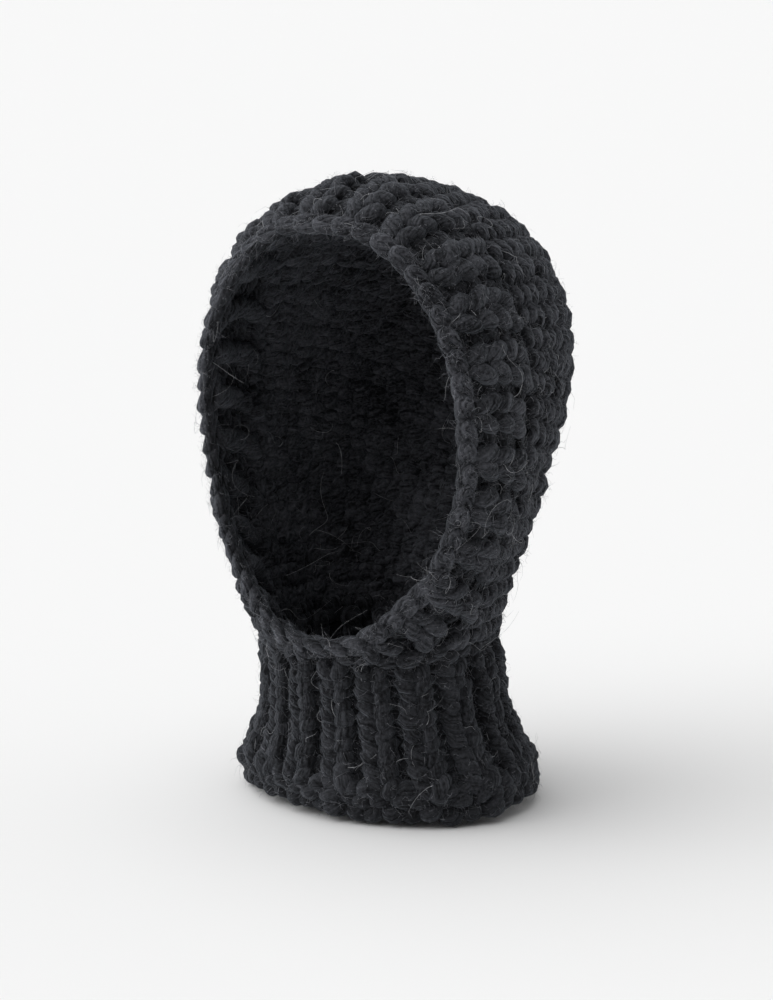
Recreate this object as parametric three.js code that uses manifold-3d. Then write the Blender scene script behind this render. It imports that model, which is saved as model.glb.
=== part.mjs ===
// Hand-knitted balaclava in chunky wool: a ribbed collar, a hood and a ribbed band round the face.
// Millimetres, +Z up, face towards -Y. The origin is on the ground, under the middle of the whole object.

import * as THREE from 'three';
import { mergeVertices } from 'three/addons/utils/BufferGeometryUtils.js';
import Module from 'manifold-3d';

const wasm = await Module();
wasm.setup();

// ---------- driving dimensions ----------

const HEIGHT = 346; // hem to crown
const GAP = 0.3; // clearance between neighbouring pieces
const REACH = 150; // half size of a cutting block, larger than the hood

// Hood: outline of the outer face at a few heights. `square` is the exponent of the section in front
// of its centre, where 2 is an ellipse and more is boxier.
const HOOD_OUTLINE = [
  { z: 82, halfWidth: 69, front: -62, back: 57, square: 2.2 },
  { z: 98, halfWidth: 70, front: -67, back: 58, square: 2.2 },
  { z: 120, halfWidth: 75, front: -71, back: 66, square: 2.3 },
  { z: 150, halfWidth: 83, front: -74, back: 83, square: 2.8 },
  { z: 185, halfWidth: 91, front: -76, back: 100, square: 3.3 },
  { z: 228, halfWidth: 95, front: -75, back: 114, square: 3.5 },
  { z: 270, halfWidth: 92, front: -73, back: 114, square: 3.2 },
  { z: 305, halfWidth: 78, front: -71, back: 98, square: 2.7 },
  { z: 326, halfWidth: 58, front: -62, back: 73, square: 2.4 },
  { z: 339, halfWidth: 33, front: -42, back: 39, square: 2.2 },
  { z: HEIGHT, halfWidth: 3, front: -12, back: -4, square: 2 },
];
const HOOD_CENTRE_Y = -8; // where the hood is widest
const HOOD_CENTRE_Z = 200;
const BACK_SQUARENESS = 2.3; // exponent of the section behind its centre
const HOOD_WALL = 13;

// Collar: a ribbed tube that flares to its hem.
const COLLAR_OUTLINE = [
  { z: -8, halfWidth: 87, front: -64, back: 82 },
  { z: 14, halfWidth: 85, front: -63, back: 79 },
  { z: 34, halfWidth: 77, front: -61, back: 72 },
  { z: 56, halfWidth: 71, front: -60, back: 62 },
  { z: 84, halfWidth: 67, front: -60, back: 55 },
  { z: 100, halfWidth: 67, front: -60, back: 55 },
];
const COLLAR_WALL = 12;
const COLLAR_RIBS = 20;
const RIB_RELIEF = 2; // how far a rib stands out of the mean surface
const HEM_HEIGHT = 13;
const HEM_PROUD = 1.5;
const COLLAR_TOP = 90;
const JOIN_HEIGHT = 7; // the round of stitches between collar and hood

// Face opening and the bands round it, seen from the side.
const RIM_Y = -51; // front edge of the hood beside the cheeks
const CHIN_Y = -70; // front edge under the chin
const CHIN_Z = 107; // bottom of the opening
const BROW_Z = 334; // top of the opening
const CHIN_SQUEEZE = 1.05; // the bands get narrower under the chin
const CHIN_SHIFT = 0.4; // how far the line under the chin moves back with the width of the bands
const CHIN_FLAT = 4; // how far back the rim runs level from the point of the chin
const CHIN_ROUND = 100; // height over which the rim turns from the chin into the cheek
const CHEEK_LEAN = 6; // how far the rim still leans forward between the chin and the cheek
const CHEEK_BEND = 0.43; // where it does so, as a share of that height
const EDGE_WIDTH = 9; // bound-off chain
const BAND_WIDTH = 47; // chain and ribs
const EDGE_PROUD = 2; // the chain and the ribs stand out of the hood by this much
const BAND_PROUD = 4;
const RIM_STEPS = 14; // points on each stretch of the rim line
const OPENING_REACH = 3; // the cone that cuts the opening ends this many times further out than the rim
const RIDGE_PROUD = 1.5; // and the join and the seam by this much

const SEAM_HALF_WIDTH = 5; // sewn seam down the middle of the back
const SEAM_TOP_Z = 285;

// ---------- solids ----------

function solid(geometry) {
  const bare = geometry.clone();
  bare.deleteAttribute('normal');
  bare.deleteAttribute('uv');
  const merged = mergeVertices(bare, 1e-4);
  return new wasm.Manifold(new wasm.Mesh({
    numProp: 3,
    vertProperties: new Float32Array(merged.attributes.position.array),
    triVerts: new Uint32Array(merged.index.array),
  }));
}

function named(name, body, look) {
  const cut = body.getMesh();
  const geometry = new THREE.BufferGeometry();
  geometry.setAttribute('position', new THREE.BufferAttribute(new Float32Array(cut.vertProperties), 3));
  geometry.setIndex(new THREE.BufferAttribute(new Uint32Array(cut.triVerts), 1));
  geometry.computeVertexNormals();
  const mesh = new THREE.Mesh(geometry, look);
  mesh.name = name;
  return mesh;
}

// One measure of an outline as a smooth curve over its height.
function curveOf(outline, measure) {
  return new THREE.SplineCurve(outline.map((row) => new THREE.Vector2(row.z, row[measure])));
}

// A closed body whose level sections follow an outline. `grow` moves its face outwards.
function lofted(outline, { grow, centreY = 0, backSquareness = 2, levels = 14, around = 48, ribs = 0 }) {
  const profile = [new THREE.Vector2(0, 0)];
  for (let level = 0; level <= levels; level += 1) profile.push(new THREE.Vector2(1, level / levels));
  profile.push(new THREE.Vector2(0, 1));
  const geometry = new THREE.LatheGeometry(profile, around);
  const halfWidth = curveOf(outline, 'halfWidth');
  const front = curveOf(outline, 'front');
  const back = curveOf(outline, 'back');
  const square = outline[0].square ? curveOf(outline, 'square') : null;
  const rounded = (unit, power) => Math.sign(unit) * Math.abs(unit) ** (2 / power);
  const position = geometry.attributes.position;
  for (let i = 0; i < position.count; i += 1) {
    const side = position.getX(i);
    const rear = -position.getZ(i);
    const level = position.getY(i);
    const power = square && rear < 0 ? square.getPoint(level).y : backSquareness;
    const z = front.getPoint(level).x;
    const reach = rear > 0 ? back.getPoint(level).y - centreY : centreY - front.getPoint(level).y;
    const relief = grow + (ribs ? RIB_RELIEF * Math.cos(ribs * Math.atan2(side, rear)) : 0);
    const lift = Math.max(0, (z - HOOD_CENTRE_Z) / (HEIGHT - HOOD_CENTRE_Z));
    position.setXYZ(
      i,
      rounded(side, power) * Math.max(halfWidth.getPoint(level).y + relief, 1),
      centreY + rounded(rear, power) * Math.max(reach + relief, 1),
      z + grow * lift,
    );
  }
  return solid(geometry);
}

// Everything between two heights.
function slab(low, high) {
  const block = new THREE.BoxGeometry(4 * REACH, 4 * REACH, high - low);
  return solid(block.translate(0, 0, (low + high) / 2));
}

// Everything between two planes square to X.
function slice(low, high) {
  const block = new THREE.BoxGeometry(high - low, 4 * REACH, 4 * REACH);
  return solid(block.translate((low + high) / 2, 0, REACH));
}

// Half the width of the hood at a height, measured at the depth `y` on the outer face of the rim.
function halfWidthAt(z, y) {
  const row = HOOD_OUTLINE.findIndex((next) => next.z >= z);
  const below = HOOD_OUTLINE[row - 1];
  const share = (z - below.z) / (HOOD_OUTLINE[row].z - below.z);
  const measure = (name) => THREE.MathUtils.lerp(below[name], HOOD_OUTLINE[row][name], share);
  const depth = (HOOD_CENTRE_Y - y) / (HOOD_CENTRE_Y - measure('front') + EDGE_PROUD);
  const power = measure('square');
  return (measure('halfWidth') + EDGE_PROUD) * Math.max(0, 1 - depth ** power) ** (1 / power);
}

// The rim seen from the side, from the chin up to the cheek, once it is moved back by `width`.
function cheekPoints(width) {
  const chin = new THREE.Vector2(CHIN_Y + CHIN_SHIFT * width, CHIN_Z - CHIN_SQUEEZE * width);
  const cheek = new THREE.Vector2(RIM_Y + width, CHIN_Z + CHIN_ROUND);
  const fromChin = new THREE.Vector2(chin.x + CHIN_FLAT, chin.y);
  const toCheek = new THREE.Vector2(cheek.x - CHEEK_LEAN, CHIN_Z + CHEEK_BEND * CHIN_ROUND);
  return new THREE.CubicBezierCurve(chin, fromChin, toCheek, cheek).getPoints(RIM_STEPS);
}

// The side of the opening from the chin to the brow, on the outer face of the hood.
function rimLine() {
  const line = cheekPoints(0);
  const cheekTop = CHIN_Z + CHIN_ROUND;
  for (let step = 1; step <= RIM_STEPS; step += 1) {
    const rise = Math.sin((step / RIM_STEPS) * (Math.PI / 2));
    line.push(new THREE.Vector2(RIM_Y, cheekTop + (BROW_Z - cheekTop) * rise));
  }
  return line.map((point) => new THREE.Vector3(halfWidthAt(point.y, point.x), point.x, point.y));
}

// The hole for the face: a cone from the middle of the neck, which cuts the rim about square to the wall.
function faceOpening() {
  const left = rimLine();
  const right = left.map((point) => new THREE.Vector3(-point.x, point.y, point.z)).reverse();
  const tip = new THREE.Vector3(0, HOOD_CENTRE_Y, CHIN_Z);
  const ring = [...left, ...right].map((point) => point.sub(tip).multiplyScalar(OPENING_REACH).add(tip));
  const outside = new THREE.Vector3(0, -3 * REACH, HOOD_CENTRE_Z);
  const corners = [tip, outside, ...ring];
  const faces = ring.flatMap((_, i) => {
    const here = 2 + i;
    const next = 2 + ((i + 1) % ring.length);
    return [0, next, here, 1, here, next];
  });
  const geometry = new THREE.BufferGeometry().setFromPoints(corners);
  return solid(geometry.setIndex(faces));
}

// Everything in front of the rim line, once the line is moved back over the hood by `width`.
function inFrontOf(width) {
  const rim = cheekPoints(width);
  const low = new THREE.Vector2(-REACH, rim[0].y);
  const above = [new THREE.Vector2(RIM_Y + width, 3 * REACH), new THREE.Vector2(-REACH, 3 * REACH)];
  const side = new THREE.Shape([low, ...rim, ...above]);
  const geometry = new THREE.ExtrudeGeometry(side, { depth: 2 * REACH, bevelEnabled: false });
  const axes = new THREE.Matrix4().makeBasis(
    new THREE.Vector3(0, 1, 0),
    new THREE.Vector3(0, 0, 1),
    new THREE.Vector3(1, 0, 0),
  );
  return solid(geometry.applyMatrix4(axes).translate(-REACH, 0, 0));
}

function hoodShell(proud) {
  const form = { centreY: HOOD_CENTRE_Y, backSquareness: BACK_SQUARENESS };
  const outer = lofted(HOOD_OUTLINE, { ...form, grow: proud });
  return outer.subtract(lofted(HOOD_OUTLINE, { ...form, grow: -HOOD_WALL }));
}

function collarShell(proud, ribs) {
  const form = { levels: 5, around: 80 };
  const outer = lofted(COLLAR_OUTLINE, { ...form, grow: proud, ribs });
  return outer.subtract(lofted(COLLAR_OUTLINE, { ...form, grow: -COLLAR_WALL }));
}

// ---------- looks ----------

function wool(shade) {
  return new THREE.MeshStandardMaterial({ color: shade, roughness: 0.95, metalness: 0 });
}

const ribWool = wool('#2b2c30');
const hoodWool = wool('#292a2d');
const edgeWool = wool('#303136');

// ---------- pieces ----------

function collar() {
  const group = new THREE.Group();
  const hem = collarShell(HEM_PROUD, 0).intersect(slab(0, HEM_HEIGHT));
  const ribs = collarShell(0, COLLAR_RIBS).intersect(slab(HEM_HEIGHT + GAP, COLLAR_TOP));
  group.add(named('collar_hem', hem, edgeWool), named('collar_rib', ribs, ribWool));
  return group;
}

function neckJoin() {
  const low = COLLAR_TOP + GAP;
  return named('neck_join', hoodShell(RIDGE_PROUD).intersect(slab(low, low + JOIN_HEIGHT)), edgeWool);
}

function faceBands(aboveNeck) {
  const group = new THREE.Group();
  const inFront = (width) => aboveNeck.intersect(inFrontOf(width)).subtract(faceOpening());
  const edge = hoodShell(EDGE_PROUD).intersect(inFront(EDGE_WIDTH));
  const band = hoodShell(BAND_PROUD).intersect(inFront(BAND_WIDTH)).subtract(inFrontOf(EDGE_WIDTH + GAP));
  group.add(named('face_edge', edge, edgeWool), named('face_band', band, ribWool));
  return group;
}

function hood(aboveNeck) {
  const group = new THREE.Group();
  const behindBand = (proud) => hoodShell(proud).intersect(aboveNeck).subtract(inFrontOf(BAND_WIDTH + GAP));
  const seamStrip = (margin) => slice(-SEAM_HALF_WIDTH - margin, SEAM_HALF_WIDTH + margin)
    .intersect(slab(0, SEAM_TOP_Z + margin))
    .subtract(inFrontOf(BAND_WIDTH + SEAM_HALF_WIDTH - margin));
  const panel = (side) => behindBand(0).subtract(seamStrip(GAP)).intersect(side);
  group.add(
    named('hood_left', panel(slice(GAP / 2, REACH)), hoodWool),
    named('hood_right', panel(slice(-REACH, -GAP / 2)), hoodWool),
    named('back_seam', behindBand(RIDGE_PROUD).intersect(seamStrip(0)), edgeWool),
  );
  return group;
}

const aboveNeck = slab(COLLAR_TOP + JOIN_HEIGHT + 2 * GAP, 3 * REACH);
const balaclava = new THREE.Group();
balaclava.add(collar(), neckJoin(), faceBands(aboveNeck), hood(aboveNeck));
balaclava.position.y = -new THREE.Box3().setFromObject(balaclava).getCenter(new THREE.Vector3()).y;

export default balaclava;
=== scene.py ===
"""Chunky hand-knitted wool balaclava, modelled stitch by stitch.

Every course of knitting is one tube of yarn that follows the loops of real knit and purl stitches. The
courses lie on patches that are fitted to the inside of the CAD walls, so the yarn takes the solids' place.
"""

import math

import bpy
import numpy as np
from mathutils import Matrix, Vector
from mathutils.bvhtree import BVHTree


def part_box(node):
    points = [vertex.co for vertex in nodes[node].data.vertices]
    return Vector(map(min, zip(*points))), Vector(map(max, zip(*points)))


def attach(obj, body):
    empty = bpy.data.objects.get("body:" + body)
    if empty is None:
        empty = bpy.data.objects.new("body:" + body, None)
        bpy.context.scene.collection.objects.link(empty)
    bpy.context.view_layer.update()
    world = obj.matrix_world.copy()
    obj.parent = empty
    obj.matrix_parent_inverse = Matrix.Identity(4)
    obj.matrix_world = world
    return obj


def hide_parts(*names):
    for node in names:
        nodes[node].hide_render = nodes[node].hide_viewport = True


MM = 0.001
TAU = 2 * math.pi

# Yarn: a loosely spun single. These are radii.
COLLAR_YARN = 4.7 * MM
HEM_YARN = 0.95 * COLLAR_YARN
BAND_YARN = 4.6 * MM
EDGE_YARN = 0.7 * BAND_YARN
HOOD_YARN = 3.6 * MM
SEAM_YARN = 0.8 * HOOD_YARN
YARN_STRETCH = (0.85, 1.35)  # how thin and how thick the yarn gets where the fabric is drawn in or out
TWIST = 0.03  # length of one turn of the spin, metres
RING_SIDES = 12
STEPS_PER_STITCH = 18

# Collar
COLLAR_COLUMNS = 34
COLLAR_ROW = 7.6 * MM
COLLAR_DEPTH = 2.2 * MM  # how far a stitch swings through the fabric
COLLAR_TOP = 2 * MM  # the fabric ends this much below the top of the neck join
FIRST_RIB_ROW = 2.6
JOIN_BELOW_TOP = 0.5  # rows, as are the next two
JOIN_ROUNDS_APART = 0.7
RIB_BELOW_JOIN = 0.8
JOIN_LOOP = 0.5
HEM_COLUMNS = 44
HEM_ROW = 9.2 * MM
HEM_LOW, HEM_HIGH = 1.1, 1.7  # rows of the two rounds of bumps
HEM_OUT = 2 * MM  # the bumps stand out of the collar by this much
HEM_BACK = 3 * MM  # the hem sits this much further back than the collar above it
HEM_BACK_UP_TO = 60 * MM
BUMP_DEPTH = 2 * MM

# Band and rim
BAND_COLUMNS = 52
BAND_ROW = 9.2 * MM
BAND_DEPTH = 2 * MM
BAND_REACH = 52 * MM
MERIDIANS = 180
MERIDIAN_LENGTH = 80 * MM
# The rim's cut face runs out from a tip this far in front of the head's middle and above the rim's low end
CUT_AHEAD, CUT_UP = 8 * MM, 9.4 * MM
CUT_SQUARENESS = 0.3  # skin that faces the tip less squarely than this is the cut face
EDGE_WIDTH = 8 * MM
EDGE_PROUD = 2.5 * MM
CHAIN_PITCH = 11 * MM
CHAIN_WIDTH = 2.4 * MM
LINK_STEPS = 20

# Hood and seam
HOOD_COLUMNS = 46
HOOD_ROWS = 17
FIRST_HOOD_ROW = 0.3
HOOD_DEPTH = 2 * MM
HOOD_UNDER_BAND = 50 * MM  # the hood's front edge is never further behind the rim than this
BLEND_ROWS = 5  # rows over which the hood comes down from the band's height to its own
OFF_MIDDLE = 0.004  # keeps a ray off the gap between the two halves
SEAM_STITCHES = 18
SEAM_STEPS = 14
SEAM_MARGIN = 4 * MM
SEAM_OUT, SEAM_DEPTH, SEAM_WIDTH = 8 * MM, 3.5 * MM, 5.5 * MM

# Height, and there the way from the inside face of the CAD wall to the middle of the fabric, in mm
COLLAR_OUT = ((24, 6.3), (42, 4), (60, 5), (80, 6.5), (96, 3.5))
BAND_OUT = ((100, 4.5), (130, 9.5), (170, 12), (260, 9), (330, 10.5))
HOOD_OUT = ((110, 4.5), (185, 2.5), (250, 8), (330, 10))
RIM_OUT = 6.5 * MM

# How a stitch is formed: see course()
RIB = {"level": True, "bulge": 0.2, "pinch": 0.045, "swell": 0.1, "wide_knit": 1.6, "purl_depth": 0.3}
BUMPS = {"bulge": 0.12, "loop": 0.36, "head_lift": 1 * MM}
PURL = {"bulge": 0.2, "loop": 0.8, "head_lift": 2.4 * MM, "flat": 1.16}
COLLAR_PURL_DROP = 6 * MM
BAND_PURL_DROP = 4.5 * MM
UNEVEN_CELL = 0.7  # stitches between the values of a random field

# Loose fibres: range of lengths, radius, range of how far they stand up, sections, whether they curl
SHORT = {
    "lengths": (2.5 * MM, 8 * MM),
    "radius": 0.085 * MM,
    "lie": (0, 0.8),
    "sections": 4,
    "curly": False,
}
STRAY = {
    "lengths": (8 * MM, 30 * MM),
    "radius": 0.12 * MM,
    "lie": (0.05, 0.3),
    "sections": 16,
    "curly": True,
}
ROOT_SPREAD = 1.9  # radians either side of straight out, round the yarn, where a loose fibre leaves it
FIBRE_WAVES = 7  # radians of waviness along a loose fibre
FUZZ_RISE = 3.5 * MM  # no loose fibre stands further off its root than this
FLOOR_GAP = 0.4 * MM

# Painted shade: the yarn's colour is darkened by its height in the fabric, darkest at VALLEY and palest at
# CREST; the inside face counts INSIDE_LIFT higher, so it is painted less dark.
INSIDE_LIFT = 3 * MM  # the inside face counts as this much higher
VALLEY, CREST = -0.5 * MM, 8 * MM  # heights in the fabric that are darkest and palest

HEAD_BACK, HEAD_HEIGHT = 4.2 * MM, 200 * MM  # the head's middle: behind the neck's, and above the floor

VIEW_AZIMUTH = math.radians(35)  # the camera stands to the wearer's left of the face
VIEW_ELEVATION = math.radians(12)
VIEW_DISTANCE = 1.8
VIEW_HEIGHT = 167.3 * MM
LENS, SENSOR, SHIFT_X = 117.8, 36, 0.0035

rng = np.random.default_rng(7)


# ---------- the CAD surface ----------


def lengths_along(points):
    """The distance along the polyline at each of its points."""
    return np.concatenate([[0], np.cumsum(np.linalg.norm(np.diff(points, axis=0), axis=1))])


def resampled(points, count, closed=False):
    """The polyline with `count` points at even distances."""
    points = np.asarray(points)
    if closed:
        points = np.vstack([points, points[:1]])
    length = lengths_along(points)
    want = np.linspace(0, length[-1], count + 1 if closed else count)
    made = np.stack([np.interp(want, length, points[:, k]) for k in range(3)], 1)
    return made[:-1] if closed else made


def blurred(grid, passes, wrap):
    """The grid of points, smoothed along both of its directions; wrap closes the first."""
    for _ in range(passes):
        if wrap:
            grid = (np.roll(grid, 1, 0) + 2 * grid + np.roll(grid, -1, 0)) / 4
        else:
            grid[1:-1] = (grid[:-2] + 2 * grid[1:-1] + grid[2:]) / 4
        grid[:, 1:-1] = (grid[:, :-2] + 2 * grid[:, 1:-1] + grid[:, 2:]) / 4
    return grid


class Skin:
    """The faces of some CAD nodes, found by rays; from the head's hollow they meet the inside face first."""

    REACH = 0.3  # metres
    # A ray that slips through a gap between two nodes is tried again a little to the side
    NUDGES = ((0, 0, 0), (0.006, 0.004, 0.005), (-0.006, 0.005, -0.007), (0.012, -0.01, 0.011))

    def __init__(self, names):
        verts, faces, self.owner = [], [], []
        for name in names:
            mesh = nodes[name].data
            start = len(verts)
            verts += [v.co.copy() for v in mesh.vertices]
            for polygon in mesh.polygons:
                faces.append([start + i for i in polygon.vertices])
                self.owner.append(name)
        self.tree = BVHTree.FromPolygons(verts, faces)

    def hit(self, origin, direction):
        """(point, name of the node) where the ray first meets the skin, or (None, None)."""
        for nudge in self.NUDGES:
            way = (Vector(direction).normalized() + Vector(nudge)).normalized()
            point, _, index, _ = self.tree.ray_cast(Vector(origin), way, self.REACH)
            if point is not None:
                return np.array(point), self.owner[index]
        return None, None

    def squareness(self, point, origin):
        """How squarely the skin at one of its points faces the origin: 0 edge-on, 1 square."""
        place, normal, _, _ = self.tree.find_nearest(Vector(point))
        return abs(normal.dot((place - Vector(origin)).normalized()))


class Patch:
    """A smooth four-sided piece of the fabric's middle surface. s counts columns and t counts rows."""

    ROW_LIMITS = (-0.06, 1.06)  # a loop may reach this far past the first and last row

    def __init__(self, grid, columns, rows, wrap, inward):
        self.grid, self.columns, self.rows, self.wrap = grid, columns, rows, wrap
        if wrap:
            along = np.roll(grid, -1, 0) - np.roll(grid, 1, 0)
        else:
            along = np.gradient(grid, axis=0)
        across = np.gradient(grid, axis=1)
        normal = np.cross(along, across)
        normal /= np.linalg.norm(normal, axis=2, keepdims=True) + 1e-12
        outward = grid - inward
        normal *= np.sign((normal * outward).sum(2, keepdims=True))
        self.normal = blurred(normal, 3, wrap)
        area = np.linalg.norm(np.cross(along, across), axis=2, keepdims=True)
        self.stretch = blurred(np.sqrt(area / np.median(area)), 6, wrap)

    def at(self, s, t):
        """Points, outward normals and how far the fabric is stretched at columns s and rows t."""
        count_s, count_t = self.grid.shape[:2]
        span = count_s if self.wrap else count_s - 1
        fs = s / self.columns * span
        ft = np.clip(t / self.rows, *self.ROW_LIMITS) * (count_t - 1)
        i = np.floor(fs).astype(int)
        if not self.wrap:
            i = np.clip(i, 0, count_s - 2)
        j = np.clip(np.floor(ft).astype(int), 0, count_t - 2)
        u = (fs - i)[:, None]
        v = (ft - j)[:, None]
        i0, i1 = (i % count_s, (i + 1) % count_s) if self.wrap else (i, i + 1)

        def mix(table):
            low = table[i0, j] * (1 - u) + table[i1, j] * u
            high = table[i0, j + 1] * (1 - u) + table[i1, j + 1] * u
            return low * (1 - v) + high * v

        normal = mix(self.normal)
        normal /= np.linalg.norm(normal, axis=1, keepdims=True)
        return mix(self.grid), normal, mix(self.stretch)[:, 0]


def pushed_out(grid, centre, amount, wrap):
    """The grid of inside points, moved out of the head to the middle of the fabric."""
    return grid + Patch(grid, 1, 1, wrap, centre).normal * amount


def by_height(grid, table):
    """The amounts of a (height, amount) table in mm, at the heights of the grid's points."""
    heights, amounts = MM * np.array(table).T
    return np.interp(grid[:, :, 2:], heights, amounts)


def collar_grid():
    """The middle of the collar's fabric, round (first index) and up, and the points on its axis."""
    skin = Skin(["collar_hem", "collar_rib", "neck_join"])
    low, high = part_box("collar_rib")
    middle = (low.y + high.y) / 2
    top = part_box("neck_join")[1].z
    around, levels, margin = 160, 24, 1 * MM
    grid = np.zeros((around, levels, 3))
    for i in range(around):
        angle = TAU * i / around
        direction = (math.sin(angle), -math.cos(angle), 0)
        for j in range(levels):
            z = margin + (top - 2 * margin) * j / (levels - 1)
            grid[i, j] = skin.hit((0, middle, z), direction)[0]
    for j in range(levels):
        grid[:, j] = resampled(grid[:, j], around, closed=True)
    grid = blurred(grid, 6, True)
    grid[:, 0, 2] = 0
    centre = np.array([0, middle, 0]) + np.array([0, 0, 1]) * grid[:, :, 2:]
    grid = pushed_out(grid, centre, by_height(grid, COLLAR_OUT), True)
    grid[:, :, 1] += HEM_BACK * np.clip(1 - grid[:, :, 2] / HEM_BACK_UP_TO, 0, 1)
    return grid, centre


def meridian(skin, side, rise):
    """Skin points and their nodes, from the face opening backwards in one direction off the face's axis."""
    coarse, fine = math.radians(2), math.radians(0.7)

    def look(psi):
        return skin.hit(head, (side * math.sin(psi), -math.cos(psi), rise * math.sin(psi)))

    psi = math.radians(10)
    while look(psi)[0] is None:
        psi += coarse
    low, high = psi - coarse, psi
    for _ in range(8):
        mid = (low + high) / 2
        if look(mid)[0] is None:
            low = mid
        else:
            high = mid
    points, owners, psi = [], [], high
    while len(points) < 2 or np.linalg.norm(np.diff(points, axis=0), axis=1).sum() < MERIDIAN_LENGTH:
        point, node = look(psi)
        psi += fine
        if point is not None:
            points.append(point)
            owners.append(node)
    return np.array(points), owners


def band_meridians(skin):
    """For each direction round the face: (distances, points) from the rim, where the band ends, at what."""
    cut_from = (0, head[1] - CUT_AHEAD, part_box("face_edge")[0].z + CUT_UP)
    lines, ends, after = [], [], []
    for i in range(MERIDIANS):
        turn = TAU * (i + 0.5) / MERIDIANS - math.pi / 2
        points, owners = meridian(skin, math.cos(turn), math.sin(turn))
        length = lengths_along(points)
        first = next(k for k, point in enumerate(points) if skin.squareness(point, cut_from) > CUT_SQUARENESS)
        length = length - length[first]
        behind_band = (k for k, node in enumerate(owners) if node not in ("face_edge", "face_band"))
        left = next(behind_band, len(owners) - 1)
        lines.append((length, points))
        ends.append(length[left])
        after.append(owners[left])
    return lines, np.array(ends), after


def point_along(line, distance):
    length, points = line
    return np.array([np.interp(distance, length, points[:, k]) for k in range(3)])


def band_grid(lines):
    """The middle of the band's fabric, round the face (first index) and backwards from the rim."""
    levels, full_height = 40, 0.4  # the fabric has come up from the rim to its full height this far back
    grid = [[point_along(line, BAND_REACH * j / (levels - 1)) for j in range(levels)] for line in lines]
    grid = blurred(np.array(grid), 3, True)
    for j in range(levels):
        grid[:, j] = resampled(grid[:, j], len(lines), closed=True)
    level = np.linspace(0, 1, levels)[None, :, None]
    rise = np.minimum(1, level / full_height)
    amount = RIM_OUT * (1 - rise) + by_height(grid, BAND_OUT) * rise
    return pushed_out(grid, np.broadcast_to(head, grid.shape), amount, True)


def hood_half(skin, front_edge):
    """The inside of the hood's +X half, from neck to crown (first index) and from the band to the seam."""
    count_s, count_t, rays = 60, 48, 40
    join_low, join_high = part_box("neck_join")
    neck_z = join_high.z + 2 * MM
    neck_y = (join_low.y + join_high.y) / 2
    seam_z = np.linspace(neck_z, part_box("back_seam")[1].z, 30)
    front = resampled(front_edge, count_s)
    seam = resampled([skin.hit((0, 0, z), (OFF_MIDDLE, 1, 0))[0] for z in seam_z], count_s)
    start = math.atan2(front[0, 0], -(front[0, 1] - neck_y))
    angles = np.linspace(start, math.pi - 0.01, rays)
    neck = [skin.hit((0, neck_y, neck_z), (math.sin(a), -math.cos(a), 0))[0] for a in angles]
    neck = resampled(neck, count_t)
    top_from = math.atan2(front[-1, 2] - head[2], -(front[-1, 1] - head[1]))
    top_to = math.atan2(seam[-1, 2] - head[2], -(seam[-1, 1] - head[1]))
    angles = np.linspace(top_from, top_to, rays)
    crown = [skin.hit(head, (OFF_MIDDLE, -math.cos(a), math.sin(a)))[0] for a in angles]
    crown = resampled(crown, count_t)
    s = np.linspace(0, 1, count_s)[:, None, None]
    t = np.linspace(0, 1, count_t)[None, :, None]
    grid = (1 - t) * front[:, None] + t * seam[:, None] + (1 - s) * neck[None] + s * crown[None]
    grid -= (1 - s) * (1 - t) * front[0] + (1 - s) * t * seam[0] + s * (1 - t) * front[-1] + s * t * seam[-1]
    for i in range(1, count_s - 1):
        for j in range(1, count_t - 1):
            point = skin.hit(head, grid[i, j] - head)[0]
            if point is not None:
                grid[i, j] = point
    grid[-1, :, 0] = 0
    return grid


def hood_grid(skin, lines, ends, after):
    """The middle of the hood's fabric, side to side over the head (first index) and back from the band."""
    at_hood = [i for i in range(MERIDIANS // 2) if after[i] == "hood_left"]
    edge = [point_along(lines[i], min(ends[i], HOOD_UNDER_BAND)) for i in at_hood]
    edge.append(np.array(edge[-1]))
    edge[-1][0] = 0
    part = blurred(hood_half(skin, np.array(edge)), 4, False)
    part[-1, :, 0] = 0
    mirrored = part[:-1] * np.array([-1, 1, 1])
    grid = blurred(np.concatenate([mirrored, part[::-1]]), 3, False)
    behind = np.clip(np.linspace(0, HOOD_ROWS / BLEND_ROWS, grid.shape[1]), 0, 1)[None, :, None]
    amount = by_height(grid, BAND_OUT) * (1 - behind) + by_height(grid, HOOD_OUT) * behind
    return pushed_out(grid, np.broadcast_to(head, grid.shape), amount, False)


# ---------- stitches ----------


def smooth_field(columns, rows, cell, amount):
    """A random but smooth value over a patch, as a function of column and row."""
    size = (int(columns / cell) + 4, int(rows / cell) + 4)
    values = rng.normal(0, amount, size)

    def read(s, t):
        x = np.clip(s / cell + 1, 0, size[0] - 1.001)
        y = np.clip(t / cell + 1, 0, size[1] - 1.001)
        i, j = x.astype(int), y.astype(int)
        u, v = x - i, y - j
        u, v = u * u * (3 - 2 * u), v * v * (3 - 2 * v)
        low = values[i, j] * (1 - u) + values[i + 1, j] * u
        high = values[i, j + 1] * (1 - u) + values[i + 1, j + 1] * u
        return low * (1 - v) + high * v

    return read


def uneven(columns, rows, move, size):
    """Smooth random changes along s, along t (both in stitches), in height and in yarn size."""
    return [smooth_field(columns, rows, UNEVEN_CELL, amount) for amount in (move, move, move * 8 * MM, size)]


class Strand:
    """The middle line of a length of yarn, with the fabric's outward normals and its height in the fabric,
    which sets its painted shade.
    """

    def __init__(self, points, normals, radius, closed, height=0.0, flat=1.0):
        self.points, self.normals, self.closed, self.flat = points, normals, closed, flat
        self.radius = np.broadcast_to(radius, len(points)).copy()
        self.height = np.broadcast_to(height, len(points)).copy()


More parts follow.
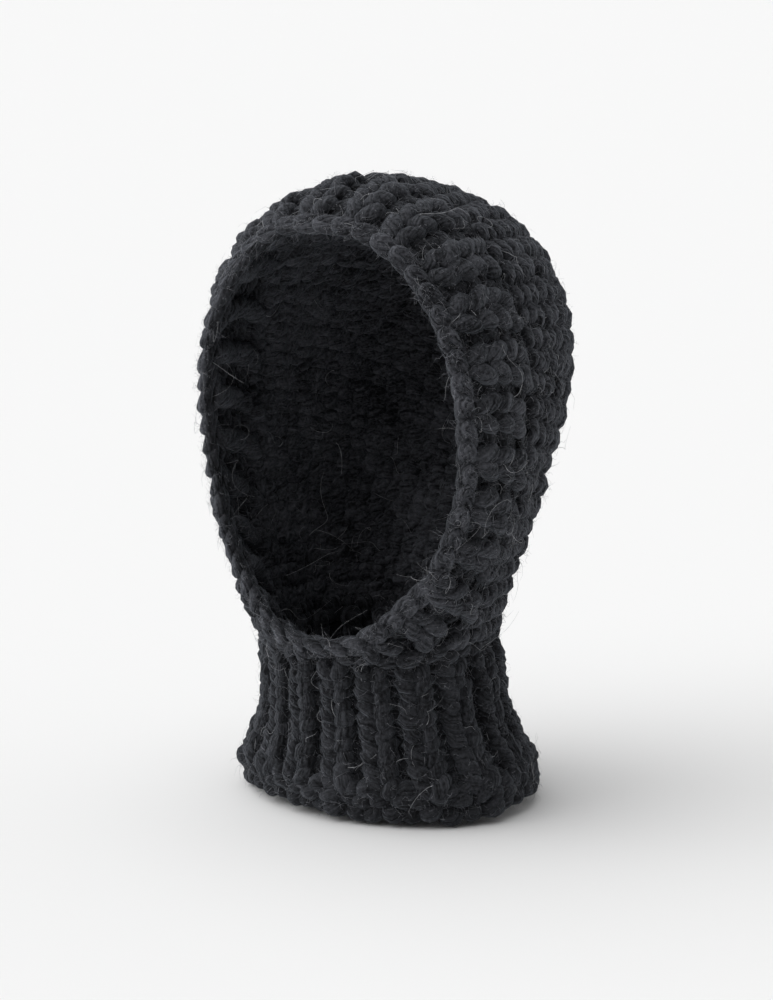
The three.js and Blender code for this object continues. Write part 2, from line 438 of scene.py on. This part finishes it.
def course(patch, row, columns, kinds, yarn, depth, look):
    """One course of stitches on a patch. kinds has one letter a column: k for knit and p for purl.

    look says how the stitches are formed. bulge, pinch and loop shape the loop in the plane of the fabric,
    wide_knit is the knit's share of two columns, level puts a stitch in front of or behind the fabric as a
    whole, head_lift, purl_depth and purl_drop set heights, swell and flat shape the yarn, and wobble holds
    the four fields of uneven().
    """
    tau = (np.arange(STEPS_PER_STITCH) / STEPS_PER_STITCH)[None, :]
    column = np.asarray(columns)[:, None]
    knit = np.array([kind == "k" for kind in kinds])[:, None]
    sign = np.where(knit, 1.0, -1.0)
    deep = np.where(knit, depth, depth * look.get("purl_depth", 1.0))
    if look.get("level", False):
        lift = sign * deep * (1 - np.cos(2 * TAU * tau))
    else:
        lift = -sign * deep * np.cos(2 * TAU * tau)
    lift = lift - np.where(knit, 0, look.get("purl_drop", 0)) * np.sin(math.pi * tau) ** 2
    lift = lift - look.get("head_lift", 0) * np.cos(TAU * tau)
    across = tau + look["bulge"] * np.sin(2 * TAU * tau)
    across = across + np.where(knit, look.get("pinch", 0), 0) * np.sin(TAU * tau)
    wide = look.get("wide_knit", 1.0)
    across = np.where(knit, across * wide, wide - 1 + across * (2 - wide))
    s = (column + across).ravel()
    t = (row - look.get("loop", 0.75) * np.cos(TAU * tau) + 0 * column).ravel()
    lift = lift.ravel()
    along, up, out, size = look["wobble"]
    s, t, lift = s + along(s, t), t + up(s, t), lift + out(s, t)
    points, normals, stretch = patch.at(s, t)
    closed = len(columns) == patch.columns and patch.wrap
    swell = 1 - look.get("swell", 0) * np.cos(2 * TAU * tau) + 0 * column
    thick = yarn * swell.ravel() * (1 + size(s, t)) * np.clip(stretch, *YARN_STRETCH)
    return Strand(points + normals * lift[:, None], normals, thick, closed, lift, look.get("flat", 1.0))


def chain(points, normals):
    """A bound-off chain along a closed line: overlapping teardrop links, each with its head over the next."""
    ahead = np.roll(points, -1, 0) - np.roll(points, 1, 0)
    ahead /= np.linalg.norm(ahead, axis=1, keepdims=True)
    sideways = np.cross(normals, ahead)
    angle = np.linspace(0, TAU, LINK_STEPS, endpoint=False)
    along = 0.9 * CHAIN_PITCH * np.cos(angle)
    rise = 0.75 * EDGE_YARN * np.cos(angle)
    links = []
    for k in range(len(points)):
        skew = 0.5 * CHAIN_WIDTH + 0.15 * CHAIN_WIDTH * rng.normal()
        teardrop = np.sin(angle) * (1 + 0.4 * np.cos(angle))
        side = CHAIN_WIDTH * (1 + rng.normal(0, 0.06)) * teardrop + skew * np.cos(angle)
        loop = points[k] + along[:, None] * ahead[k] + side[:, None] * sideways[k]
        loop += rise[:, None] * normals[k]
        swell = EDGE_YARN * (1 + rng.normal(0, 0.05)) * (1 + 0.12 * np.cos(angle))
        facing = np.repeat(normals[k : k + 1], LINK_STEPS, 0)
        # The link's height sets its painted shade, so the proud chain is painted pale.
        links.append(Strand(loop, facing, swell, True, rise + EDGE_PROUD))
    return links


# ---------- meshes ----------


def tube(strand):
    """The yarn round a strand: vertices, quads, end caps, fibre coordinates and each point's painted shade,
    from how far out it is.
    """
    points, sides = strand.points, RING_SIDES
    count = len(points)
    if strand.closed:
        ahead = np.roll(points, -1, 0) - np.roll(points, 1, 0)
    else:
        ahead = np.gradient(points, axis=0)
    ahead = ahead / (np.linalg.norm(ahead, axis=1, keepdims=True) + 1e-9)
    sideways = np.cross(ahead, strand.normals)
    sideways /= np.linalg.norm(sideways, axis=1, keepdims=True) + 1e-9
    up = np.cross(sideways, ahead)
    length = lengths_along(points)
    turns = max(1, round(length[-1] / TWIST)) / max(length[-1], 1e-6)
    angle = TAU * np.arange(sides) / sides
    twist = angle[None, :] + TAU * turns * length[:, None]
    lobes = 1 + 0.05 * np.cos(2 * twist) + 0.035 * np.cos(3 * twist + 1.0)
    radius = strand.radius[:, None] * lobes
    ring = (
        (radius * np.cos(angle))[:, :, None] * up[:, None] * (2 - strand.flat)
        + (radius * np.sin(angle))[:, :, None] * sideways[:, None] * strand.flat
    )
    verts = (points[:, None] + ring).reshape(-1, 3)
    outwards = (ring * strand.normals[:, None]).sum(2)
    # Painted shade: points lower in the fabric, between the stitches, get a darker colour; the inside face is
    # painted less dark.
    height = strand.height[:, None] + outwards
    height = np.where(outwards < -0.3 * radius, INSIDE_LIFT - height, height)
    shade = np.clip((height - VALLEY) / (CREST - VALLEY), 0, 1).ravel()
    start = rng.uniform(0, 20)
    in_section = [(radius * np.cos(twist)).ravel(), (radius * np.sin(twist)).ravel()]
    fibre = np.stack([start + np.repeat(length, sides), *in_section], 1)
    rows = count if strand.closed else count - 1
    i = np.arange(rows)[:, None]
    j = np.arange(sides)[None, :]
    a, b = i * sides + j, i * sides + (j + 1) % sides
    c, d = ((i + 1) % count) * sides + (j + 1) % sides, ((i + 1) % count) * sides + j
    quads = np.stack([a, b, c, d], 2).reshape(-1, 4)
    first, last = list(range(sides))[::-1], list(range((count - 1) * sides, count * sides))
    caps = [] if strand.closed else [first, last]
    return verts, quads, caps, fibre, shade


def mesh_of(name, verts, faces, material):
    mesh = bpy.data.meshes.new(name)
    mesh.from_pydata(verts, [], faces)
    mesh.polygons.foreach_set("use_smooth", [True] * len(mesh.polygons))
    mesh.materials.append(material)
    mesh.update()
    return mesh


def add_piece(mesh, stands_for=()):
    """A visible piece on the part's one body. stands_for names the CAD nodes that it replaces."""
    piece = bpy.data.objects.new(mesh.name, mesh)
    bpy.context.scene.collection.objects.link(piece)
    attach(piece, "root")
    if stands_for:
        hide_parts(*stands_for)


def yarn_piece(name, strands, material, stands_for):
    """One piece made of all these strands, which stands for a CAD node."""
    parts = [tube(strand) for strand in strands]
    faces, base = [], 0
    for verts, quads, _, _, _ in parts:
        faces += (quads + base).tolist()
        base += len(verts)
    base = 0
    for verts, _, caps, _, _ in parts:
        faces += [[base + k for k in cap] for cap in caps]
        base += len(verts)
    mesh = mesh_of(name, np.vstack([part[0] for part in parts]).tolist(), faces, material)
    fibre = mesh.attributes.new("fibre", "FLOAT_VECTOR", "POINT")
    fibre.data.foreach_set("vector", np.vstack([part[3] for part in parts]).astype(np.float32).ravel())
    shade = mesh.attributes.new("shade", "FLOAT", "POINT")
    shade.data.foreach_set("value", np.concatenate([part[4] for part in parts]).astype(np.float32))
    add_piece(mesh, [stands_for])


# ---------- loose fibres ----------


def fibre_lines(strands, count, kind):
    """The middle lines of loose fibres that leave the yarn, bent and mostly lying along the fabric."""
    points = np.vstack([strand.points for strand in strands])
    normals = np.vstack([strand.normals for strand in strands])
    ahead = np.vstack([np.gradient(strand.points, axis=0) for strand in strands])
    ahead /= np.linalg.norm(ahead, axis=1, keepdims=True)
    sizes = np.concatenate([strand.radius for strand in strands])
    pick = rng.integers(0, len(points), count)
    ahead, points, normals, sizes = ahead[pick], points[pick], normals[pick], sizes[pick]
    sideways = np.cross(ahead, normals)
    sideways /= np.linalg.norm(sideways, axis=1, keepdims=True)
    up = np.cross(sideways, ahead)
    up *= np.sign((up * normals).sum(1, keepdims=True))
    turn = rng.uniform(-ROOT_SPREAD, ROOT_SPREAD, count)[:, None]
    out = up * np.cos(turn) + sideways * np.sin(turn)
    base = points + out * 0.9 * sizes[:, None]
    length = rng.uniform(*kind["lengths"], count)[:, None] * rng.uniform(0.4, 1, count)[:, None]
    way = out * rng.uniform(*kind["lie"], count)[:, None] + ahead * rng.normal(0, 1, (count, 1))
    way = way + np.cross(out, ahead) * rng.normal(0, 0.7, (count, 1))
    way /= np.linalg.norm(way, axis=1, keepdims=True)
    curl = rng.normal(0, 0.55, (count, 3))
    wave = rng.normal(0, 0.12, (count, 3))
    if kind["curly"]:
        curl -= 0.85 * out * (curl * out).sum(1, keepdims=True)
    t = np.linspace(0, 1, kind["sections"])[None, :, None]
    bend = way[:, None] * t + curl[:, None] * t * t + wave[:, None] * np.sin(FIBRE_WAVES * t)
    line = base[:, None] + length[:, None] * bend
    if kind["curly"]:
        line += length[:, None] * 1.2 * np.cross(way, wave)[:, None] * (1 - np.cos(FIBRE_WAVES * t))
    rise = ((line - base[:, None]) * normals[:, None]).sum(2, keepdims=True)
    line = line - normals[:, None] * np.maximum(0, rise - FUZZ_RISE)
    line[:, :, 2] = np.maximum(line[:, :, 2], FLOOR_GAP)
    return line


def fibre_piece(name, strands, count, kind, material):
    """A piece made of loose fibres: thin three-sided hairs that taper."""
    line = fibre_lines(strands, count, kind)
    sections = kind["sections"]
    t = np.linspace(0, 1, sections)[None, :, None]
    run = np.gradient(line, axis=1) + 1e-9
    run /= np.linalg.norm(run, axis=2, keepdims=True)
    first = np.cross(run, rng.normal(0, 1, (count, 1, 3)))
    first /= np.linalg.norm(first, axis=2, keepdims=True)
    second = np.cross(run, first)
    thin = kind["radius"] * rng.uniform(0.7, 1.2, (count, 1, 1)) * (1 - 0.7 * t)
    angles = (0, TAU / 3, 2 * TAU / 3)
    ring = [line + thin * (first * math.cos(angle) + second * math.sin(angle)) for angle in angles]
    verts = np.stack(ring, 2).reshape(-1, 3)
    start = (np.arange(count) * sections * 3)[:, None, None]
    row = start + (np.arange(sections - 1) * 3)[None, :, None]
    side = np.arange(3)[None, None, :]
    following = (side + 1) % 3
    quads = np.stack([row + side, row + following, row + 3 + following, row + 3 + side], 3).reshape(-1, 4)
    last = (sections - 1) * 3
    caps = np.vstack([start[:, 0] + [2, 1, 0], start[:, 0] + [last, last + 1, last + 2]])
    add_piece(mesh_of(name, verts.tolist(), quads.tolist() + caps.tolist(), material))


def fuzz(name, strands, short, long):
    """The halo of short fibres, painted pale blue-grey as a highlight, and the few long pale strays of one
    piece.
    """
    fibre_piece(f"{name}_fuzz", strands, short, SHORT, loose_wool_painted_highlight)
    fibre_piece(f"{name}_strays", strands, long, STRAY, pale_wool)


# ---------- materials ----------


def scaled(tree, source, scale):
    node = tree.nodes.new("ShaderNodeVectorMath")
    node.operation = "MULTIPLY"
    node.inputs[1].default_value = scale
    tree.links.new(source, node.inputs[0])
    return node.outputs[0]


def noise(tree, source, scale=1.0, detail=2.0, roughness=0.6):
    node = tree.nodes.new("ShaderNodeTexNoise")
    node.inputs["Scale"].default_value = scale
    node.inputs["Detail"].default_value = detail
    node.inputs["Roughness"].default_value = roughness
    tree.links.new(source, node.inputs["Vector"])
    return node.outputs["Fac"]


def combined(tree, operation, first, second, third=None):
    """A math node; each input is a socket or a number."""
    node = tree.nodes.new("ShaderNodeMath")
    node.operation = operation
    for socket, value in zip(node.inputs, (first, second, third)):
        if isinstance(value, (int, float)):
            socket.default_value = value
        elif value is not None:
            tree.links.new(value, socket)
    return node.outputs[0]


def ranged(tree, source, low, high):
    """The source, taken from 0..1 to low..high."""
    node = tree.nodes.new("ShaderNodeMapRange")
    node.inputs["To Min"].default_value = low
    node.inputs["To Max"].default_value = high
    tree.links.new(source, node.inputs["Value"])
    return node.outputs["Result"]


def ramp(tree, source, span, dark, light):
    """A colour that goes from dark to light over the span of the source."""
    node = tree.nodes.new("ShaderNodeValToRGB")
    for element, position, colour in zip(node.color_ramp.elements, span, (dark, light)):
        element.position = position
        element.color = (*colour, 1)
    tree.links.new(source, node.inputs["Fac"])
    return node.outputs["Color"]


def new_material(name, settings):
    material = bpy.data.materials.new(name)
    material.use_nodes = True
    shader = material.node_tree.nodes["Principled BSDF"]
    for socket, value in settings.items():
        shader.inputs[socket].default_value = value
    return material, material.node_tree, shader


def attribute(tree, name):
    node = tree.nodes.new("ShaderNodeAttribute")
    node.attribute_name = name
    return node


def wool(name, dark, light):
    """Spun wool: fibres along the twisted yarn, uneven dye, painted shade between the stitches, with a soft
    sheen.
    """
    settings = {
        "Sheen Weight": 0.16,
        "Sheen Roughness": 0.45,
        "Sheen Tint": (0.80, 0.88, 1.0, 1),
        "Specular IOR Level": 0.12,
    }
    material, tree, shader = new_material(name, settings)
    link = tree.links.new
    fibre = attribute(tree, "fibre").outputs["Vector"]
    hairs = noise(tree, scaled(tree, fibre, (110, 850, 850)), detail=4)
    plies = noise(tree, scaled(tree, fibre, (40, 400, 400)), detail=1)
    place = tree.nodes.new("ShaderNodeTexCoord").outputs["Object"]
    dye = noise(tree, place, 34)
    matted = noise(tree, place, 520, detail=3)

    spun = combined(tree, "MULTIPLY_ADD", hairs, 0.32, combined(tree, "MULTIPLY", plies, 0.23))
    worn = combined(tree, "MULTIPLY_ADD", matted, 0.30, combined(tree, "MULTIPLY", dye, 0.15))
    tone = combined(tree, "ADD", spun, worn)
    # Painted shade: the base colour is darkened where the yarn lies deep between the stitches.
    depth = ranged(tree, attribute(tree, "shade").outputs["Fac"], 0.07, 1.0)
    colour = tree.nodes.new("ShaderNodeVectorMath")
    colour.operation = "SCALE"
    link(ramp(tree, tone, (0.42, 0.62), dark, light), colour.inputs[0])
    link(depth, colour.inputs["Scale"])
    link(colour.outputs[0], shader.inputs["Base Color"])
    link(ranged(tree, hairs, 0.75, 1.0), shader.inputs["Roughness"])

    bump = tree.nodes.new("ShaderNodeBump")
    bump.inputs["Strength"].default_value = 0.9
    bump.inputs["Distance"].default_value = 2.2 * MM
    relief = combined(tree, "MULTIPLY_ADD", hairs, 0.5, plies)
    link(combined(tree, "MULTIPLY_ADD", matted, 0.5, relief), bump.inputs["Height"])
    link(bump.outputs["Normal"], shader.inputs["Normal"])
    return material


def hair(name, dark, light):
    """Loose fibres of one wool, each a little lighter or darker along its length."""
    settings = {"Roughness": 0.6, "Specular IOR Level": 0.3, "Sheen Weight": 0.1}
    material, tree, shader = new_material(name, settings)
    place = tree.nodes.new("ShaderNodeTexCoord").outputs["Object"]
    grain = noise(tree, place, 300, roughness=0.5)
    tree.links.new(ramp(tree, grain, (0.35, 0.65), dark, light), shader.inputs["Base Color"])
    return material


# ---------- the pieces ----------

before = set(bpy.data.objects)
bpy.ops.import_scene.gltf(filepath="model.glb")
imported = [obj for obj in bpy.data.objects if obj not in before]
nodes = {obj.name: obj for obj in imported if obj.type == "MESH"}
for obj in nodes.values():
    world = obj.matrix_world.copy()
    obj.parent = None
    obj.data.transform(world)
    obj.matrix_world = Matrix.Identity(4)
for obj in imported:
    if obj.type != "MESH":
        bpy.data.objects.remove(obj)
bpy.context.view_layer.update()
# Painted light and shade: the yarn is one charcoal wool throughout. The hood and the bound-off edge are
# painted lighter, where light falls from above and the side. The collar is painted darker, as shade under the
# hood, and the band lies between.
hood_wool = wool("hood_wool", (0.0036, 0.0037, 0.0046), (0.100, 0.1032, 0.1172))
rib_wool = wool("rib_wool", (0.0030, 0.0031, 0.0038), (0.080, 0.0825, 0.0938))
collar_wool_painted_shade = wool("collar_wool_painted_shade", (0.0022, 0.0023, 0.0028), (0.051, 0.0527, 0.0600))
edge_wool = wool("edge_wool", (0.0043, 0.0044, 0.0055), (0.106, 0.1093, 0.1243))
# Painted highlight: the short loose fibres are the same charcoal wool, painted pale blue-grey for the light
# they catch.
loose_wool_painted_highlight = hair("loose_wool_painted_highlight", (0.09, 0.093, 0.105), (0.34, 0.35, 0.385))
pale_wool = hair("pale_wool", (0.24, 0.245, 0.26), (0.60, 0.61, 0.64))
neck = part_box("neck_join")
head = np.array([0, (neck[0].y + neck[1].y) / 2 + HEAD_BACK, HEAD_HEIGHT])  # middle of the head


def make_rib(patch, last_row):
    wobble = uneven(COLLAR_COLUMNS, patch.rows, move=0.09, size=0.09)
    look = dict(RIB, purl_drop=COLLAR_PURL_DROP, wobble=wobble)
    kinds = "kp" * (COLLAR_COLUMNS // 2)
    count = round(last_row - FIRST_RIB_ROW) + 1
    courses = [
        course(patch, row, range(COLLAR_COLUMNS), kinds, COLLAR_YARN, COLLAR_DEPTH, look)
        for row in np.linspace(FIRST_RIB_ROW, last_row, count)
    ]
    yarn_piece("collar_rib_knit", courses, collar_wool_painted_shade, "collar_rib")
    fuzz("collar_rib", courses, short=9900, long=200)


def make_hem(grid, centre, height):
    """The cast-on edge: two rounds of bumps, half a stitch apart."""
    grid = grid + Patch(grid, 1, 1, True, centre).normal * HEM_OUT
    patch = Patch(grid, HEM_COLUMNS, height / HEM_ROW, True, centre)
    look = dict(BUMPS, wobble=uneven(HEM_COLUMNS, patch.rows, move=0.12, size=0.12))
    columns, kinds = np.arange(HEM_COLUMNS), "p" * HEM_COLUMNS
    courses = [
        course(patch, HEM_LOW, columns, kinds, HEM_YARN, BUMP_DEPTH, look),
        course(patch, HEM_HIGH, columns + 0.5, kinds, HEM_YARN, BUMP_DEPTH, look),
    ]
    yarn_piece("collar_hem_knit", courses, collar_wool_painted_shade, "collar_hem")
    fuzz("collar_hem", courses, short=5000, long=45)


def make_join(patch, row):
    """The round of stitches where the hood is worked onto the collar."""
    look = dict(BUMPS, wobble=uneven(COLLAR_COLUMNS, patch.rows, move=0.12, size=0.12))
    columns, kinds = np.arange(COLLAR_COLUMNS), "p" * COLLAR_COLUMNS
    courses = [
        course(patch, row, columns, kinds, COLLAR_YARN, COLLAR_DEPTH, dict(look, loop=JOIN_LOOP)),
        course(patch, row + JOIN_ROUNDS_APART, columns + 0.5, kinds, HOOD_YARN, BUMP_DEPTH, look),
    ]
    yarn_piece("neck_join_knit", courses, collar_wool_painted_shade, "neck_join")
    fuzz("neck_join", courses, short=5000, long=80)


def make_collar():
    grid, centre = collar_grid()
    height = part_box("neck_join")[1].z - COLLAR_TOP
    patch = Patch(grid, COLLAR_COLUMNS, height / COLLAR_ROW, True, centre)
    join_row = patch.rows - JOIN_BELOW_TOP
    make_rib(patch, join_row - RIB_BELOW_JOIN)
    make_hem(grid, centre, height)
    make_join(patch, join_row)


def smooth_ring(values, passes):
    for _ in range(passes):
        values = (np.roll(values, 1) + 2 * values + np.roll(values, -1)) / 4
    return values


def columns_with_room(room, width):
    """The band's columns this far behind the rim, without those that the collar takes over at the chin."""
    inside = room > width + 0.2 * BAND_ROW
    if inside.all():
        return np.arange(BAND_COLUMNS)
    columns = np.arange(np.argmax(inside), BAND_COLUMNS - np.argmax(inside[::-1]))
    return columns[columns[0] % 2 :]


def make_band(lines, ends):
    grid = band_grid(lines)
    patch = Patch(grid, BAND_COLUMNS, BAND_REACH / BAND_ROW, True, np.broadcast_to(head, grid.shape))
    kinds = "kp" * (BAND_COLUMNS // 2)
    look = dict(RIB, purl_drop=BAND_PURL_DROP, wobble=uneven(BAND_COLUMNS, patch.rows, move=0.09, size=0.09))
    turns = np.arange(MERIDIANS) / MERIDIANS
    room = np.interp(np.arange(BAND_COLUMNS) / BAND_COLUMNS, turns, smooth_ring(ends, 4))
    courses = []
    width = EDGE_WIDTH + 0.45 * BAND_ROW
    while width < BAND_REACH - 0.5 * BAND_ROW:
        columns = columns_with_room(room, width)
        letters = "".join(kinds[c] for c in columns)
        courses.append(course(patch, width / BAND_ROW, columns, letters, BAND_YARN, BAND_DEPTH, look))
        width += BAND_ROW
    yarn_piece("face_band_knit", courses, rib_wool, "face_band")
    fuzz("face_band", courses, short=9900, long=240)
    return patch


def make_edge(band):
    """The bound-off edge: one chain link for each column of the band."""
    s = np.arange(BAND_COLUMNS) + 0.5
    points, normals, _ = band.at(s, np.full(len(s), 0.45 * EDGE_WIDTH / BAND_ROW))
    links = chain(points + normals * EDGE_PROUD, normals)
    yarn_piece("face_edge_chain", links, edge_wool, "face_edge")
    fuzz("face_edge", links, short=4500, long=30)


def make_hood(skin, lines, ends, after):
    grid = hood_grid(skin, lines, ends, after)
    patch = Patch(grid, HOOD_COLUMNS, HOOD_ROWS, False, np.broadcast_to(head, grid.shape))
    look = dict(PURL, wobble=uneven(HOOD_COLUMNS, HOOD_ROWS, move=0.10, size=0.09))
    middle = HOOD_COLUMNS // 2
    rows = FIRST_HOOD_ROW + np.arange(HOOD_ROWS)
    for name, columns in (("hood_right", range(0, middle)), ("hood_left", range(middle, HOOD_COLUMNS))):
        courses = [course(patch, row, columns, "p" * middle, HOOD_YARN, HOOD_DEPTH, look) for row in rows]
        yarn_piece(f"{name}_knit", courses, hood_wool, name)
        fuzz(name, courses, short=9900, long=240)


def make_seam():
    """The two side edges of the hood drawn together by a row of whip stitches up the back."""
    skin = Skin(["hood_left", "hood_right", "back_seam"])
    low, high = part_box("back_seam")
    heights = np.linspace(low.z + SEAM_MARGIN, high.z - SEAM_MARGIN, 400)
    line = np.array([skin.hit((0, 0, z), (OFF_MIDDLE, 1, 0))[0] for z in heights])
    line[:, 0] = 0
    for _ in range(20):
        line[1:-1] = (line[:-2] + 2 * line[1:-1] + line[2:]) / 4
    line = resampled(line, SEAM_STITCHES * SEAM_STEPS)
    ahead = np.gradient(line, axis=0)
    ahead /= np.linalg.norm(ahead, axis=1, keepdims=True)
    out = np.cross(np.array([1.0, 0, 0]), ahead)
    out *= np.sign(out[:, 1:2])
    turn = TAU * np.arange(len(line)) / SEAM_STEPS
    path = line + out * (SEAM_OUT + SEAM_DEPTH * np.cos(turn))[:, None]
    path[:, 0] += SEAM_WIDTH * np.sin(turn)
    yarn_piece("back_seam_yarn", [Strand(path, out, SEAM_YARN, False)], hood_wool, "back_seam")


make_collar()
face_skin = Skin(
    ["face_edge", "face_band", "hood_left", "hood_right", "neck_join", "collar_rib", "back_seam"],
)
face_lines, band_ends, nodes_after = band_meridians(face_skin)
make_edge(make_band(face_lines, band_ends))
make_hood(face_skin, face_lines, band_ends, nodes_after)
make_seam()


# ---------- stage, lights and camera ----------


def sun(name, place, strength, angle):
    data = bpy.data.lights.new(name, "SUN")
    data.energy, data.angle = strength, math.radians(angle)
    lamp = bpy.data.objects.new(name, data)
    lamp.rotation_euler = (-Vector(place)).to_track_quat("-Z", "Y").to_euler()
    bpy.context.scene.collection.objects.link(lamp)


def make_world():
    """A pale room, brightest behind the object as it stands in the main view."""
    world = bpy.data.worlds.new("studio")
    world.use_nodes = True
    tree = world.node_tree
    place = tree.nodes.new("ShaderNodeTexCoord")
    facing = tree.nodes.new("ShaderNodeVectorMath")
    facing.operation = "DOT_PRODUCT"
    facing.inputs[1].default_value = (math.sin(VIEW_AZIMUTH), -math.cos(VIEW_AZIMUTH), 0)
    tree.links.new(place.outputs["Generated"], facing.inputs[0])
    fade = tree.nodes.new("ShaderNodeMapRange")
    fade.inputs["From Min"].default_value = -0.1
    fade.inputs["From Max"].default_value = 0.8
    fade.inputs["To Min"].default_value = 0.60
    fade.inputs["To Max"].default_value = 0.12
    tree.links.new(facing.outputs["Value"], fade.inputs["Value"])
    tree.links.new(fade.outputs["Result"], tree.nodes["Background"].inputs["Strength"])
    tree.nodes["Background"].inputs["Color"].default_value = (1, 1, 1, 1)
    bpy.context.scene.world = world


def make_floor():
    white = {"Base Color": (0.84, 0.84, 0.84, 1), "Roughness": 1.0, "Specular IOR Level": 0}
    mesh = bpy.data.meshes.new("floor")
    reach = 16
    corners = [(-reach, -reach, 0), (reach, -reach, 0), (reach, reach, 0), (-reach, reach, 0)]
    mesh.from_pydata(corners, [], [(0, 1, 2, 3)])
    mesh.materials.append(new_material("floor_white", white)[0])
    floor = bpy.data.objects.new("floor", mesh)
    bpy.context.scene.collection.objects.link(floor)


def make_camera():
    target = Vector((0, head[1], VIEW_HEIGHT))
    flat = math.cos(VIEW_ELEVATION)
    back = Vector((math.sin(VIEW_AZIMUTH) * flat, -math.cos(VIEW_AZIMUTH) * flat, math.sin(VIEW_ELEVATION)))
    data = bpy.data.cameras.new("camera")
    data.lens, data.sensor_width, data.shift_x = LENS, SENSOR, SHIFT_X
    camera = bpy.data.objects.new("camera", data)
    camera.location = target + VIEW_DISTANCE * back
    camera.rotation_euler = (-back).to_track_quat("-Z", "Y").to_euler()
    bpy.context.scene.collection.objects.link(camera)
    bpy.context.scene.camera = camera


make_floor()
make_world()
sun("left", (-0.8, -0.5, 1.8), strength=1.95, angle=90)
sun("side", (-0.7, -0.75, 0.3), strength=1.15, angle=60)
bpy.context.scene.view_settings.view_transform = "Standard"
make_camera()
